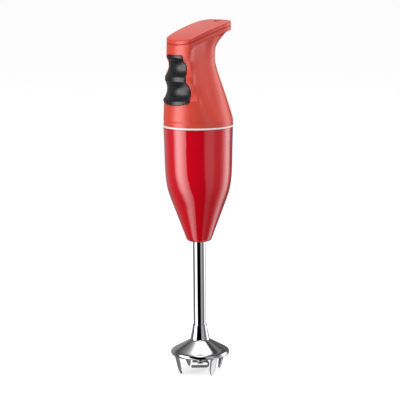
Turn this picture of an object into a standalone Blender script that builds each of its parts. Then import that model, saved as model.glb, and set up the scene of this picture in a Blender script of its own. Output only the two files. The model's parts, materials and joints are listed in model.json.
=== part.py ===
"""Stick immersion blender: a grip with two finger switches over a motor housing,
a chrome drive tube, and a four-pronged guard around a pull-off blade.

Every dimension is in millimetres. finish_object turns a mesh into metres.
The origin is on the spin axis at the level of the prong tips, +Z is up,
the switches face -Y, and the beak that hangs on a hook points to +Y.
"""
import math

import bmesh
import bpy
from mathutils import Vector

MM = 0.001
GAP = 0.3                 # clearance between neighbouring pieces
RUNNING_GAP = 0.08        # radial clearance of a running fit

# grip: an outline that changes from the round ring to the long, beaked lid seam
RING_TOP = 238.8
GRIP_BOTTOM = RING_TOP + GAP
GRIP_BASE_R = 33.0
GRIP_FRONT_TOP_R = 28.8
GRIP_FRONT_TOP_Z = 322.0
GRIP_WALL = 3.0
BEAK_CAVITY_END_Y = 19.5
LID_CENTRE_Z = 329.4
LID_SLOPE = 0.289
LID_DROOP = 0.0023
LID_HEIGHT = 4.2
LID_WALL = 2.2
HANG_HOLE_Y = 25.6
HANG_HOLE_R = 3.2
SCOOP_DEPTH = 3.4
SCOOP_HALF_HEIGHT = 9.0
SCOOP_POWER = 1.25
RECESS_DEPTH = 1.8
RECESS_CORNER = 8.0
RECESS_STEP = 2.2
RECESS_REAR = 75.0
RECESS_REAR_SPAN = 60.0
RECESS_FOOT = 0.06
RECESS_FOOT_SPAN = 0.30
FLANGE_LEVEL = 0.957
UPPER_SCOOP_Z = 294.6
LOWER_SCOOP_Z = 272.6
FRONT_COLUMNS = 5
SIDE_COLUMNS = 12
CREASE_STEP = 4.5
GRIP_ROWS = 16
GRIP_LEVELS = ([0.92 * i / GRIP_ROWS for i in range(GRIP_ROWS + 1)]
               + [0.944, FLANGE_LEVEL, 1.0])
PATCH_ROWS = 24
PATCH_COLUMNS = 8
TURN_SEGMENTS = 36

# level of the section, half width, rear reach, y of the widest place,
# angle of the crease from the front, squareness of the rear and of the front
GRIP_STATIONS = (
    (0.00, 33.0, 33.0, 0, 88, 2.0, 2.0),
    (0.05, 32.9, 32.9, 0, 84, 2.0, 2.0),
    (0.10, 31.5, 31.6, 0, 66, 2.05, 2.2),
    (0.30, 26.0, 26.4, -2, 49.5, 2.1, 2.6),
    (0.50, 20.7, 20.1, -4, 40, 2.2, 3.0),
    (0.60, 18.8, 17.1, -5, 37, 2.25, 3.2),
    (0.68, 17.6, 15.5, -5, 35, 2.25, 3.2),
    (0.74, 16.8, 15.9, -5, 33, 2.3, 3.2),
    (0.80, 16.2, 17.4, -5, 33, 2.3, 3.2),
    (0.845, 16.2, 20.4, -5, 33, 2.35, 3.2),
    (0.885, 16.5, 24.4, -3, 33.5, 2.5, 3.0),
    (0.92, 17.2, 27.8, 2, 34.5, 2.7, 2.8),
    (0.948, 18.4, 29.4, 9, 35.5, 3.0, 2.7),
    (0.957, 20.2, 30.8, 15, 36, 3.2, 2.7),
    (1.00, 20.2, 30.8, 15, 36, 3.2, 2.7),
)

# switch cover and its two buttons, in the front of the grip
COVER_BOTTOM = 259.6
COVER_TOP = 305.6
COVER_PROUD = 0.5
COVER_DEPTH = 1.5
COVER_EDGE = ((259.6, 32.5), (263.6, 33.0), (266.2, 34.4), (272.2, 34.3), (278.0, 30.0),
              (281.4, 26.3), (286.8, 25.9), (289.4, 26.5), (293.6, 26.3), (298.2, 23.8),
              (301.2, 19.4), (305.6, 19.4))
COVER_RELIEF = ((263.0, 0.7), (264.2, 0.0), (280.8, 0.0), (281.8, 0.55), (286.0, 0.55),
                (287.0, 0.0), (300.6, 0.0), (301.6, 0.7))
COVER_BOW = 2.6
COVER_BOW_HEIGHT = 12.0
BUTTON_HALF_WIDTH = 8.0
BUTTON_HALF_HEIGHT = 5.4
BUTTON_THICKNESS = 2.4
BUTTON_STEM_R = 2.0
BUTTON_TRAVEL = 1.5
SWITCH_FRONT_Y = -18.6
SWITCH_SIZE = (12.8, 6.4, 6.5)
BOARD_Y = -11.9
BOARD_SIZE = (19.0, 1.6, 48.0)
BOARD_CENTRE_Z = 284.0
PLUNGER_R = 1.1
PLUNGER_HOLE_R = 1.4
# behind the board: name, half width, depth, lowest and highest level, material
BOARD_PARTS = (("suppression_capacitor", 7.0, 7.8, 284.0, 300.0, "grey_plastic"),
               ("power_triac", 5.0, 4.4, 264.0, 279.0, "carbon"),
               ("terminal_block", 8.0, 6.8, 302.0, 307.5, "grey_plastic"))

# bush in the back of the grip, where a cord would enter
CORD_INLET_Z = 306.0
CORD_INLET_R = 4.4
CORD_BORE_R = 3.2
CORD_INLET_FRONT_Y = 12.0
CORD_INLET_BACK_Y = 16.6

# motor housing: level and radius of the turned outer wall
HOUSING_TOP = 237.0
HOUSING_BOTTOM = 127.8
HOUSING_WALL = 2.2
HOUSING_PROFILE = ((237.0, 32.8), (219.8, 32.3), (203.0, 31.9), (191.2, 31.4), (184.0, 30.6),
                   (178.0, 29.5), (172.0, 27.8), (160.0, 23.4), (145.0, 17.8), (134.0, 13.7),
                   (130.6, 12.4), (128.6, 11.4), (127.8, 10.2))
HOUSING_NECK_R = 6.4
HOUSING_FLOOR = 130.2
RING_BOTTOM = HOUSING_TOP + 0.2
RING_R = 33.1
RING_INNER_R = 29.9

# drive tube, guard and blade
TUBE_R = 6.05
TUBE_INNER_R = 5.05
TUBE_TOP = 147.0
TUBE_BOTTOM = 40.6
# inside the tube: name, lowest and highest level, material
SHAFT_BUSHES = (("shaft_seal", 29.8, 32.6, "black_rubber"),
                ("lower_shaft_bush", 33.0, 40.0, "brass"),
                ("upper_shaft_bush", 138.0, 146.0, "brass"))
SHAFT_BUSH_R = 4.95
TUBE_COLLAR = ((130.6, 6.25), (130.6, 9.3), (131.6, 9.6), (146.0, 15.2), (146.0, 6.25))
GUARD_OUTER = ((46.0, 6.75), (43.5, 7.05), (39.6, 7.7), (35.6, 8.5), (33.4, 8.95), (31.7, 9.8),
               (30.3, 11.6), (27.7, 16.4), (24.6, 22.2), (21.8, 26.6), (20.2, 27.8), (18.8, 28.0),
               (17.6, 27.4), (17.0, 26.4))
GUARD_INNER = ((17.4, 25.6), (20.4, 25.4), (23.4, 21.6), (26.6, 15.6), (28.4, 11.6), (29.0, 8.4),
               (29.4, 5.1), (40.2, 5.1), (40.2, 6.2), (46.0, 6.2))
PRONG_COUNT = 4
PRONG_FIRST_ANGLE = 78.4
PRONG_THICKNESS = 1.4
PRONG_LEVELS = ((20.0, 25.9, 7.4), (17.0, 25.6, 7.0), (12.0, 24.4, 6.6), (7.0, 23.1, 5.9),
                (3.2, 22.1, 4.3), (0.9, 21.4, 2.3), (0.0, 21.2, 1.5))
SPINDLE_R = 2.0
SPINDLE_BOTTOM = 9.6
SPINDLE_TOP = 156.0
DRIVE_PIN_Z = 24.4
DRIVE_PIN_R = 0.7
DRIVE_PIN_HALF_LENGTH = 3.9
BLADE_HUB_R = 3.3
BLADE_HUB_TOP = 26.4
BLADE_UPPER_Z = 9.4
BLADE_LOWER_Z = 4.4
BLADE_SHEET = 1.0
BLADE_HALF_WIDTH = 3.6
BLADE_FOLD_X = 5.6
BLADE_OPEN_X = -7.6
BLADE_TIP_X = -8.6
BLADE_BORE_R = SPINDLE_R + 0.15
# along each arm: reach, half width, lift
BLADE_ARM = ((2.6, 2.6, 0.0), (8.0, 2.4, 0.0), (15.5, 1.0, 2.6))
BLADE_ANGLE = 48.0

# motor, from its lower bearing plate to its upper one
COUPLING_R = 6.0
COUPLING_LEVELS = (150.0, 157.0, 164.0)
SHAFT_R = 2.5
SHAFT_BOTTOM = 158.0
SHAFT_TOP = 241.0
STACK_BOTTOM = 187.0
STACK_TOP = 212.0
STATOR_R = 22.9
STATOR_INNER_R = 20.8
STATOR_BORE_R = 13.6
ARMATURE_R = 13.0
ARMATURE_SLOTS = 12
ARMATURE_SLOT_FLOOR = 7.6
ARMATURE_SLOT_HALF = 1.1
ARMATURE_SLOT_PHASE = 0.13
WINDING_HEIGHT = 5.0
WINDING_INNER_R = 3.4
COMMUTATOR_R = 8.0
COMMUTATOR_BOTTOM = 218.6
COMMUTATOR_TOP = 229.6
BRUSH_Z = 224.6
TIE_BOLT_R = 1.4
TIE_BOLT_RADIUS = 24.6
FAN_R = 18.5
FAN_BLADES = 9
FAN_BLADE_ROOT_R = 5.4
FAN_LEVELS = (165.0, 165.6, 166.2, 170.4)
POLE_HALF_SPAN = 48.0
POLE_SHOE = 1.6
POLE_NECK_HALF = 4.8
POLE_NECK_START = 14.6
POLE_NECK_END = 21.6
COIL_NEAR = 15.6
COIL_FAR = 18.3
# half width of a coil's window and of its outside, and how far each stands over the stack
COIL_WINDOW = (5.1, 0.3)
COIL_OUTSIDE = (9.4, 3.6)
# plate's lowest and highest level and radius, hub's, bearing seat's and lip's radius
LOWER_PLATE = (178.4, 180.8, 27.0, 172.2, 180.8, 10.6, 8.1, 5.0)
UPPER_PLATE = (232.4, 234.6, 29.6, 232.4, 240.2, 9.4, 7.1, 5.0)
# bearing's lowest and highest level and radius
BEARINGS = (("lower_bearing", 172.8, 178.0, 8.0), ("upper_bearing", 234.8, 239.6, 7.0))
TIE_BOLT_HEAD_R = 2.0
TIE_BOLT_LEVELS = (176.2, 178.2, 236.0)
CARRIER = (229.9, 231.9, 12.0, 22.6)
BRUSH_HALF = 2.5
BRUSH_LENGTH_END = 17.4
BRUSH_HOLDER_HALF = (2.7, 3.6)
BRUSH_HOLDER_X = (10.4, 22.4)
SPRING_X = (17.8, 22.2)
SPRING_TURNS = 4
SPRING_COIL_R = 1.8
SPRING_WIRE_R = 0.3

PAINT = {
    "red_matte": ((0.62, 0.06, 0.045), 0.45, 0.0),
    "red_gloss": ((0.42, 0.012, 0.02), 0.12, 0.0),
    "white": ((0.85, 0.84, 0.83), 0.35, 0.0),
    "black_rubber": ((0.03, 0.03, 0.032), 0.6, 0.0),
    "chrome": ((0.82, 0.82, 0.84), 0.08, 1.0),
    "steel": ((0.6, 0.6, 0.62), 0.3, 1.0),
    "iron": ((0.25, 0.25, 0.27), 0.5, 1.0),
    "copper": ((0.72, 0.33, 0.16), 0.35, 1.0),
    "carbon": ((0.05, 0.05, 0.055), 0.7, 0.0),
    "board_green": ((0.03, 0.2, 0.09), 0.5, 0.0),
    "grey_plastic": ((0.25, 0.26, 0.28), 0.5, 0.0),
    "brass": ((0.75, 0.56, 0.25), 0.3, 1.0),
}


def clear_scene():
    for old in list(bpy.data.objects):
        bpy.data.objects.remove(old, do_unlink=True)


def make_material(name):
    colour, roughness, metallic = PAINT[name]
    material = bpy.data.materials.new(name)
    material.use_nodes = True
    shader = material.node_tree.nodes["Principled BSDF"]
    shader.inputs["Base Color"].default_value = (*colour, 1.0)
    shader.inputs["Roughness"].default_value = roughness
    shader.inputs["Metallic"].default_value = metallic
    return material


def finish_object(name, mesh_edit, material, smooth_angle=35.0, origin=(0.0, 0.0, 0.0)):
    """Write a bmesh in millimetres as an object in metres, with its origin at a joint's axis."""
    bmesh.ops.recalc_face_normals(mesh_edit, faces=mesh_edit.faces)
    for vertex in mesh_edit.verts:
        vertex.co = (vertex.co - Vector(origin)) * MM
    mesh = bpy.data.meshes.new(name)
    mesh_edit.to_mesh(mesh)
    mesh_edit.free()
    mesh.shade_smooth()
    mesh.set_sharp_from_angle(angle=math.radians(smooth_angle))
    mesh.materials.append(bpy.data.materials[material])
    part = bpy.data.objects.new(name, mesh)
    part.location = Vector(origin) * MM
    bpy.context.scene.collection.objects.link(part)
    return part


def boolean(part, other, operation, hide=True):
    modifier = part.modifiers.new(operation.lower(), "BOOLEAN")
    modifier.operation = operation
    modifier.object = other
    if hide:
        other.hide_render = True
        other.display_type = "WIRE"


def bridge_rings(mesh_edit, rings, close_ends=False, close_loop=False):
    """Join rings of points, each with the same count, into one skin."""
    made = [[mesh_edit.verts.new(point) for point in ring] for ring in rings]
    pairs = list(zip(made, made[1:]))
    if close_loop:
        pairs.append((made[-1], made[0]))
    for first, second in pairs:
        count = len(first)
        for i in range(count):
            j = (i + 1) % count
            mesh_edit.faces.new((first[i], first[j], second[j], second[i]))
    if close_ends:
        mesh_edit.faces.new(made[0])
        mesh_edit.faces.new(tuple(reversed(made[-1])))
    return made


def circle(radius, z, segments, centre=(0.0, 0.0), phase=0.0):
    turn = 2 * math.pi / segments
    return [Vector((centre[0] + radius * math.cos(phase + i * turn),
                    centre[1] + radius * math.sin(phase + i * turn), z)) for i in range(segments)]


def turned(name, profile, material, segments=24, centre=(0.0, 0.0)):
    """A closed ring: profile runs once round the section as (level, radius)."""
    mesh_edit = bmesh.new()
    rings = [circle(radius, z, segments, centre) for z, radius in profile]
    bridge_rings(mesh_edit, rings, close_loop=True)
    return finish_object(name, mesh_edit, material)


def solid_turned(name, profile, material, segments=20, centre=(0.0, 0.0)):
    """A solid of revolution with flat ends: profile runs from end to end."""
    mesh_edit = bmesh.new()
    rings = [circle(radius, z, segments, centre) for z, radius in profile]
    bridge_rings(mesh_edit, rings, close_ends=True)
    return finish_object(name, mesh_edit, material)


def rod(name, start, end, radius, material, segments=16, origin=(0.0, 0.0, 0.0)):
    mesh_edit = bmesh.new()
    start, end = Vector(start), Vector(end)
    along = end - start
    turn = Vector((0, 0, 1)).rotation_difference(along.normalized())
    rings = [[centre + turn @ point for point in circle(radius, 0.0, segments)]
             for centre in (start, end)]
    bridge_rings(mesh_edit, rings, close_ends=True)
    return finish_object(name, mesh_edit, material, origin=origin)


def box(name, low, high, material, origin=(0.0, 0.0, 0.0)):
    mesh_edit = bmesh.new()
    corners = ((0, 0), (1, 0), (1, 1), (0, 1))
    rings = [[Vector((low[0] if not a else high[0], low[1] if not b else high[1], z))
              for a, b in corners] for z in (low[2], high[2])]
    bridge_rings(mesh_edit, rings, close_ends=True)
    return finish_object(name, mesh_edit, material, origin=origin)


def smooth_read(points, at):
    """Read a smooth curve, without overshoot, through (x, y) points."""
    xs = [point[0] for point in points]
    ys = [point[1] for point in points]
    if at <= xs[0]:
        return ys[0]
    if at >= xs[-1]:
        return ys[-1]
    spans = [b - a for a, b in zip(xs, xs[1:])]
    slopes = [(b - a) / span for a, b, span in zip(ys, ys[1:], spans)]
    tangents = [slopes[0]]
    for i in range(1, len(xs) - 1):
        before, after = slopes[i - 1], slopes[i]
        if before * after <= 0:
            tangents.append(0.0)
            continue
        weight_a = 2 * spans[i] + spans[i - 1]
        weight_b = spans[i] + 2 * spans[i - 1]
        tangents.append((weight_a + weight_b) / (weight_a / before + weight_b / after))
    tangents.append(slopes[-1])
    i = max(k for k in range(len(spans)) if xs[k] <= at)
    s = (at - xs[i]) / spans[i]
    return ((1 + 2 * s) * (1 - s) ** 2 * ys[i] + s * (1 - s) ** 2 * spans[i] * tangents[i]
            + s * s * (3 - 2 * s) * ys[i + 1] + s * s * (s - 1) * spans[i] * tangents[i + 1])


def lid_top_z(y):
    return LID_CENTRE_Z + LID_SLOPE * y - LID_DROOP * y * y


def seam_z(y):
    return lid_top_z(y) - LID_HEIGHT


def front_radius(z):
    share = (z - RING_TOP) / (GRIP_FRONT_TOP_Z - RING_TOP)
    return GRIP_BASE_R + (GRIP_FRONT_TOP_R - GRIP_BASE_R) * share


def scoop_depth(z):
    depth = 0.0
    for centre in (UPPER_SCOOP_Z, LOWER_SCOOP_Z):
        offset = abs(z - centre) / SCOOP_HALF_HEIGHT
        if offset < 1:
            depth += SCOOP_DEPTH * (1 - offset * offset) ** SCOOP_POWER
    return depth


def smooth_step(value):
    value = min(max(value, 0.0), 1.0)
    return value * value * (3 - 2 * value)


def side_recess(angle, level, crease_degrees, radius):
    """How far the hollow behind the crease, with its rounded upper corner, is pushed in."""
    behind = (abs(angle) - math.radians(crease_degrees)) * radius
    below = (FLANGE_LEVEL - level) * (LID_CENTRE_Z - GRIP_BOTTOM)
    if behind <= 0 or below <= 0:
        return 0.0
    inside = min(behind, below)
    if behind < RECESS_CORNER and below < RECESS_CORNER:
        inside = RECESS_CORNER - math.hypot(RECESS_CORNER - behind, RECESS_CORNER - below)
    fade_rear = 1 - smooth_step((math.degrees(abs(angle)) - RECESS_REAR) / RECESS_REAR_SPAN)
    fade_foot = smooth_step((level - RECESS_FOOT) / RECESS_FOOT_SPAN)
    return RECESS_DEPTH * smooth_step(inside / RECESS_STEP) * fade_rear * fade_foot


def station(level):
    columns = zip(*GRIP_STATIONS)
    levels = next(columns)
    return [smooth_read(list(zip(levels, column)), level) for column in columns]


def grip_section_radius(angle, level, values):
    """Distance from the spin axis to the section's edge. The angle runs from the front."""
    half_width, rear, widest_y, crease, rear_power, front_power = values
    radius = front_radius(RING_TOP + level * (GRIP_FRONT_TOP_Z - RING_TOP))
    crease_x = radius * math.sin(math.radians(crease))
    crease_y = radius * math.cos(math.radians(crease))
    share = min(crease_x / half_width, 0.999)
    side_rise = max(1 - share ** front_power, 0.001) ** (1 / front_power)
    front = max((crease_y + widest_y) / side_rise, radius)
    low, high = 0.0, 2.5 * GRIP_BASE_R
    for _ in range(34):
        middle = (low + high) / 2
        x = abs(middle * math.sin(angle))
        y = -middle * math.cos(angle) - widest_y
        if y >= 0:
            reach = (x / half_width) ** rear_power + (y / (rear - widest_y)) ** rear_power
        else:
            reach = (x / half_width) ** front_power + (-y / front) ** front_power
        if reach > 1:
            high = middle
        else:
            low = middle
    return low


def grip_point(angle, level, values, inset=0.0, rear_limit=None):
    """A point of the grip's skin, on a section that tilts from the ring to the lid's seam."""
    ahead = math.cos(angle)
    section = grip_section_radius(angle, level, values)
    radius = section
    for _ in range(4):
        z = GRIP_BOTTOM + level * (seam_z(-radius * ahead) - GRIP_BOTTOM)
        if ahead > 0:
            front = front_radius(z) - scoop_depth(z) * ahead + max(0.25 - ahead, 0) * 120
            radius = min(section, front)
    radius -= inset + side_recess(angle, level, values[3], radius)
    if rear_limit is not None and -radius * ahead > rear_limit:
        radius = -rear_limit / ahead
    y = -radius * ahead
    z = GRIP_BOTTOM + level * (seam_z(y) - GRIP_BOTTOM)
    return Vector((radius * math.sin(angle), y, z))


def grip_angles(crease_degrees):
    """Angles round a section, with a column on each crease."""
    crease = math.radians(crease_degrees)
    front = [crease * i / FRONT_COLUMNS for i in range(FRONT_COLUMNS)]
    step = math.radians(CREASE_STEP)
    start = crease + 2 * step
    side = [start + (math.pi - start) * i / SIDE_COLUMNS for i in range(SIDE_COLUMNS)]
    half = front + [crease, crease + step] + side
    return half + [math.pi] + [-angle for angle in reversed(half[1:])]


def grip_ring(level, inset=0.0, rear_limit=None):
    values = station(level)
    return [grip_point(angle, level, values, inset, rear_limit) for angle in grip_angles(values[3])]


def front_patch(name, lowest, highest, edge_scale, outward, inward, material, margin=0.0):
    """A curved plate that follows the front of the grip, cut to the cover's outline."""
    rows, columns = PATCH_ROWS, PATCH_COLUMNS
    mesh_edit = bmesh.new()
    layers = []
    for offset in (outward, -inward):
        layer = []
        for i in range(rows + 1):
            z = lowest + (highest - lowest) * i / rows
            half = math.radians(smooth_read(COVER_EDGE, z) * edge_scale)
            half += margin / GRIP_FRONT_TOP_R
            proud = offset + (smooth_read(COVER_RELIEF, z) if offset > 0 else 0.0)
            bow = COVER_BOW * min(max(1 - (z - COVER_EDGE[0][0]) / COVER_BOW_HEIGHT, 0.0), 1.0)
            line = []
            for j in range(columns + 1):
                across = 2 * j / columns - 1
                angle = half * across
                level = z + bow * across * across
                radius = front_radius(level) - scoop_depth(level) * math.cos(angle) + proud
                place = (radius * math.sin(angle), -radius * math.cos(angle), level)
                line.append(mesh_edit.verts.new(place))
            layer.append(line)
        layers.append(layer)
    outer, inner = layers
    for i in range(rows):
        for j in range(columns):
            mesh_edit.faces.new((outer[i][j], outer[i][j + 1], outer[i + 1][j + 1], outer[i + 1][j]))
            mesh_edit.faces.new((inner[i][j], inner[i + 1][j], inner[i + 1][j + 1], inner[i][j + 1]))
    rim = ([(0, j) for j in range(columns)] + [(i, columns) for i in range(rows)]
           + [(rows, j) for j in range(columns, 0, -1)] + [(i, 0) for i in range(rows, 0, -1)])
    for (i, j), (k, l) in zip(rim, rim[1:] + rim[:1]):
        mesh_edit.faces.new((outer[i][j], inner[i][j], inner[k][l], outer[k][l]))
    return finish_object(name, mesh_edit, material)


def oval_cutter(name, centre_z, grow, front_y=-40.0, back_y=-15.0):
    mesh_edit = bmesh.new()
    segments = 24
    rings = []
    for y in (front_y, back_y):
        ring = []
        for i in range(segments):
            angle = 2 * math.pi * i / segments
            ring.append(Vector(((BUTTON_HALF_WIDTH + grow) * math.cos(angle), y,
                                centre_z + (BUTTON_HALF_HEIGHT + grow) * math.sin(angle))))
        rings.append(ring)
    bridge_rings(mesh_edit, rings, close_ends=True)
    return finish_object(name, mesh_edit, "grey_plastic")


def build_grip():
    rings = [grip_ring(level) for level in GRIP_LEVELS]
    rings += [grip_ring(level, GRIP_WALL, BEAK_CAVITY_END_Y) for level in reversed(GRIP_LEVELS)]
    mesh_edit = bmesh.new()
    bridge_rings(mesh_edit, rings, close_loop=True)
    grip = finish_object("handle_housing", mesh_edit, "red_matte", 25.0)
    boolean(grip, front_patch("cut_cover_pocket", COVER_BOTTOM - GAP, COVER_TOP + GAP, 1.0, 4.0,
                              COVER_DEPTH + GAP, "grey_plastic", GAP), "DIFFERENCE")
    for where, z in (("upper", UPPER_SCOOP_Z), ("lower", LOWER_SCOOP_Z)):
        boolean(grip, oval_cutter("cut_button_" + where, z, 2 * GAP), "DIFFERENCE")
    boolean(grip, bpy.data.objects["cut_hang_hole"], "DIFFERENCE")
    boolean(grip, rod("cut_cord_inlet", (0, 8, CORD_INLET_Z), (0, 30, CORD_INLET_Z),
                      CORD_INLET_R + GAP, "grey_plastic", 20), "DIFFERENCE")


def build_lid():
    """The lid is a shallow tray turned upside down, with a dished top."""
    edge = grip_ring(1.0)

    def ring(share, depth, inset=0.0, rear_limit=None):
        points = []
        for point in edge:
            length = math.hypot(point.x, point.y)
            radius = (length - inset) * share
            if rear_limit is not None and point.y * radius / length > rear_limit:
                radius = rear_limit * length / point.y
            x, y = point.x * radius / length, point.y * radius / length
            points.append(Vector((x, y, lid_top_z(y) - depth)))
        return points

    bottom = LID_HEIGHT - GAP
    rings = [ring(0.12, LID_WALL), ring(0.6, LID_WALL, LID_WALL, BEAK_CAVITY_END_Y),
             ring(1.0, LID_WALL, LID_WALL, BEAK_CAVITY_END_Y),
             ring(1.0, bottom, LID_WALL, BEAK_CAVITY_END_Y), ring(1.0, bottom, 0.25),
             ring(1.0, bottom - 0.4), ring(1.0, 0.9), ring(1.0, 0.25, 0.3), ring(1.0, 0.0, 1.0),
             ring(0.75, 0.25), ring(0.45, 0.45), ring(0.12, 0.5)]
    mesh_edit = bmesh.new()
    bridge_rings(mesh_edit, rings, close_ends=True)
    lid = finish_object("top_lid", mesh_edit, "red_matte")
    hole = rod("cut_hang_hole", (0, HANG_HOLE_Y, 300), (0, HANG_HOLE_Y, 350), HANG_HOLE_R,
               "grey_plastic", 24)
    boolean(lid, hole, "DIFFERENCE")


def build_ring_and_housing():
    turned("trim_ring", ((RING_BOTTOM, RING_INNER_R), (RING_BOTTOM, RING_R), (RING_TOP, RING_R),
                         (RING_TOP, RING_INNER_R)), "white", TURN_SEGMENTS)
    outer = [(z, radius) for z, radius in HOUSING_PROFILE]
    inner = [(z, radius - HOUSING_WALL) for z, radius in reversed(HOUSING_PROFILE)
             if HOUSING_FLOOR + 2 < z < HOUSING_TOP]
    inner = ([(HOUSING_BOTTOM, HOUSING_NECK_R), (HOUSING_FLOOR, HOUSING_NECK_R),
              (HOUSING_FLOOR, 9.6)] + inner + [(HOUSING_TOP, HOUSING_PROFILE[0][1] - HOUSING_WALL)])
    turned("motor_housing", outer + inner, "red_gloss", TURN_SEGMENTS)


def build_switches():
    cover = front_patch("switch_cover", COVER_BOTTOM, COVER_TOP, 1.0, COVER_PROUD, COVER_DEPTH,
                        "black_rubber")
    board_back = BOARD_Y + BOARD_SIZE[1]
    for where, z in (("upper", UPPER_SCOOP_Z), ("lower", LOWER_SCOOP_Z)):
        boolean(cover, oval_cutter("cut_cover_" + where, z, 0.0), "DIFFERENCE")
        button = front_patch(where + "_button", z - SCOOP_HALF_HEIGHT, z + SCOOP_HALF_HEIGHT, 0.9,
                             COVER_PROUD, BUTTON_THICKNESS, "black_rubber")
        boolean(button, oval_cutter("keep_button_" + where, z, -GAP), "INTERSECT")
        stem_start = -(front_radius(z) - SCOOP_DEPTH - BUTTON_THICKNESS) - 1.2
        stem = rod("stem_" + where, (0, stem_start, z), (0, SWITCH_FRONT_Y - 1.9, z),
                   BUTTON_STEM_R, "black_rubber", 14)
        boolean(button, stem, "UNION")
        rod(where + "_switch_plunger", (0, SWITCH_FRONT_Y - 1.8, z), (0, SWITCH_FRONT_Y - 0.2, z),
            PLUNGER_R, "white", 12)
        half_x, deep, half_z = SWITCH_SIZE[0] / 2, SWITCH_SIZE[1], SWITCH_SIZE[2] / 2
        micro = box(where + "_microswitch", (-half_x, SWITCH_FRONT_Y, z - half_z),
                    (half_x, SWITCH_FRONT_Y + deep, z + half_z), "grey_plastic")
        boolean(micro, rod("cut_plunger_" + where, (0, SWITCH_FRONT_Y - 1, z),
                           (0, SWITCH_FRONT_Y + 2.2, z), PLUNGER_HOLE_R, "grey_plastic", 12),
                "DIFFERENCE")
    half_x, half_z = BOARD_SIZE[0] / 2, BOARD_SIZE[2] / 2
    box("circuit_board", (-half_x, BOARD_Y, BOARD_CENTRE_Z - half_z),
        (half_x, board_back, BOARD_CENTRE_Z + half_z), "board_green")
    front_y = board_back + 0.2
    for name, half_wide, deep, low, high, material in BOARD_PARTS:
        box(name, (-half_wide, front_y, low), (half_wide, front_y + deep, high), material)


def build_cord_inlet():
    """A flush bush in the back of the grip, under the beak."""
    segments = 20
    mesh_edit = bmesh.new()
    turn = Vector((0, 0, 1)).rotation_difference(Vector((0, 1, 0)))
    rings = []
    for y, radius in ((CORD_INLET_FRONT_Y, CORD_BORE_R), (CORD_INLET_FRONT_Y, CORD_INLET_R),
                      (CORD_INLET_BACK_Y, CORD_INLET_R), (CORD_INLET_BACK_Y, CORD_BORE_R)):
        rings.append([Vector((0, y, CORD_INLET_Z)) + turn @ point
                      for point in circle(radius, 0.0, segments)])
    bridge_rings(mesh_edit, rings, close_loop=True)
    finish_object("cord_inlet_bush", mesh_edit, "black_rubber")


def build_guard():
    guard = turned("blade_guard", GUARD_OUTER + GUARD_INNER, "chrome", TURN_SEGMENTS)
    for i in range(PRONG_COUNT):
        angle = math.radians(PRONG_FIRST_ANGLE + i * 360 / PRONG_COUNT)
        outward = Vector((math.cos(angle), math.sin(angle), 0))
        sideways = Vector((-math.sin(angle), math.cos(angle), 0))
        rings = []
        for z, radius, width in PRONG_LEVELS:
            rings.append([outward * (radius + a * PRONG_THICKNESS / 2) + sideways * (b * width / 2)
                          + Vector((0, 0, z)) for a, b in ((-1, -1), (1, -1), (1, 1), (-1, 1))])
        mesh_edit = bmesh.new()
        bridge_rings(mesh_edit, rings, close_ends=True)
        prong = finish_object("join_prong_%d" % (i + 1), mesh_edit, "chrome")
        boolean(guard, prong, "UNION")
    turned("shaft_tube", ((TUBE_BOTTOM, TUBE_INNER_R), (TUBE_BOTTOM, TUBE_R), (TUBE_TOP, TUBE_R),
                          (TUBE_TOP, TUBE_INNER_R)), "chrome", 32)
    bore = SPINDLE_R + RUNNING_GAP
    for name, low, high, material in SHAFT_BUSHES:
        turned(name, ((low, bore), (low, SHAFT_BUSH_R), (high, SHAFT_BUSH_R), (high, bore)),
               material)
    turned("tube_collar", TUBE_COLLAR, "grey_plastic", 32)


def folded_plate(name, outline, thickness_axis_levels, material):
    """An upright extrusion of an outline between two levels."""
    mesh_edit = bmesh.new()
    rings = [[Vector((x, y, z)) for x, y in outline] for z in thickness_axis_levels]
    bridge_rings(mesh_edit, rings, close_ends=True)
    return finish_object(name, mesh_edit, material)


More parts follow.
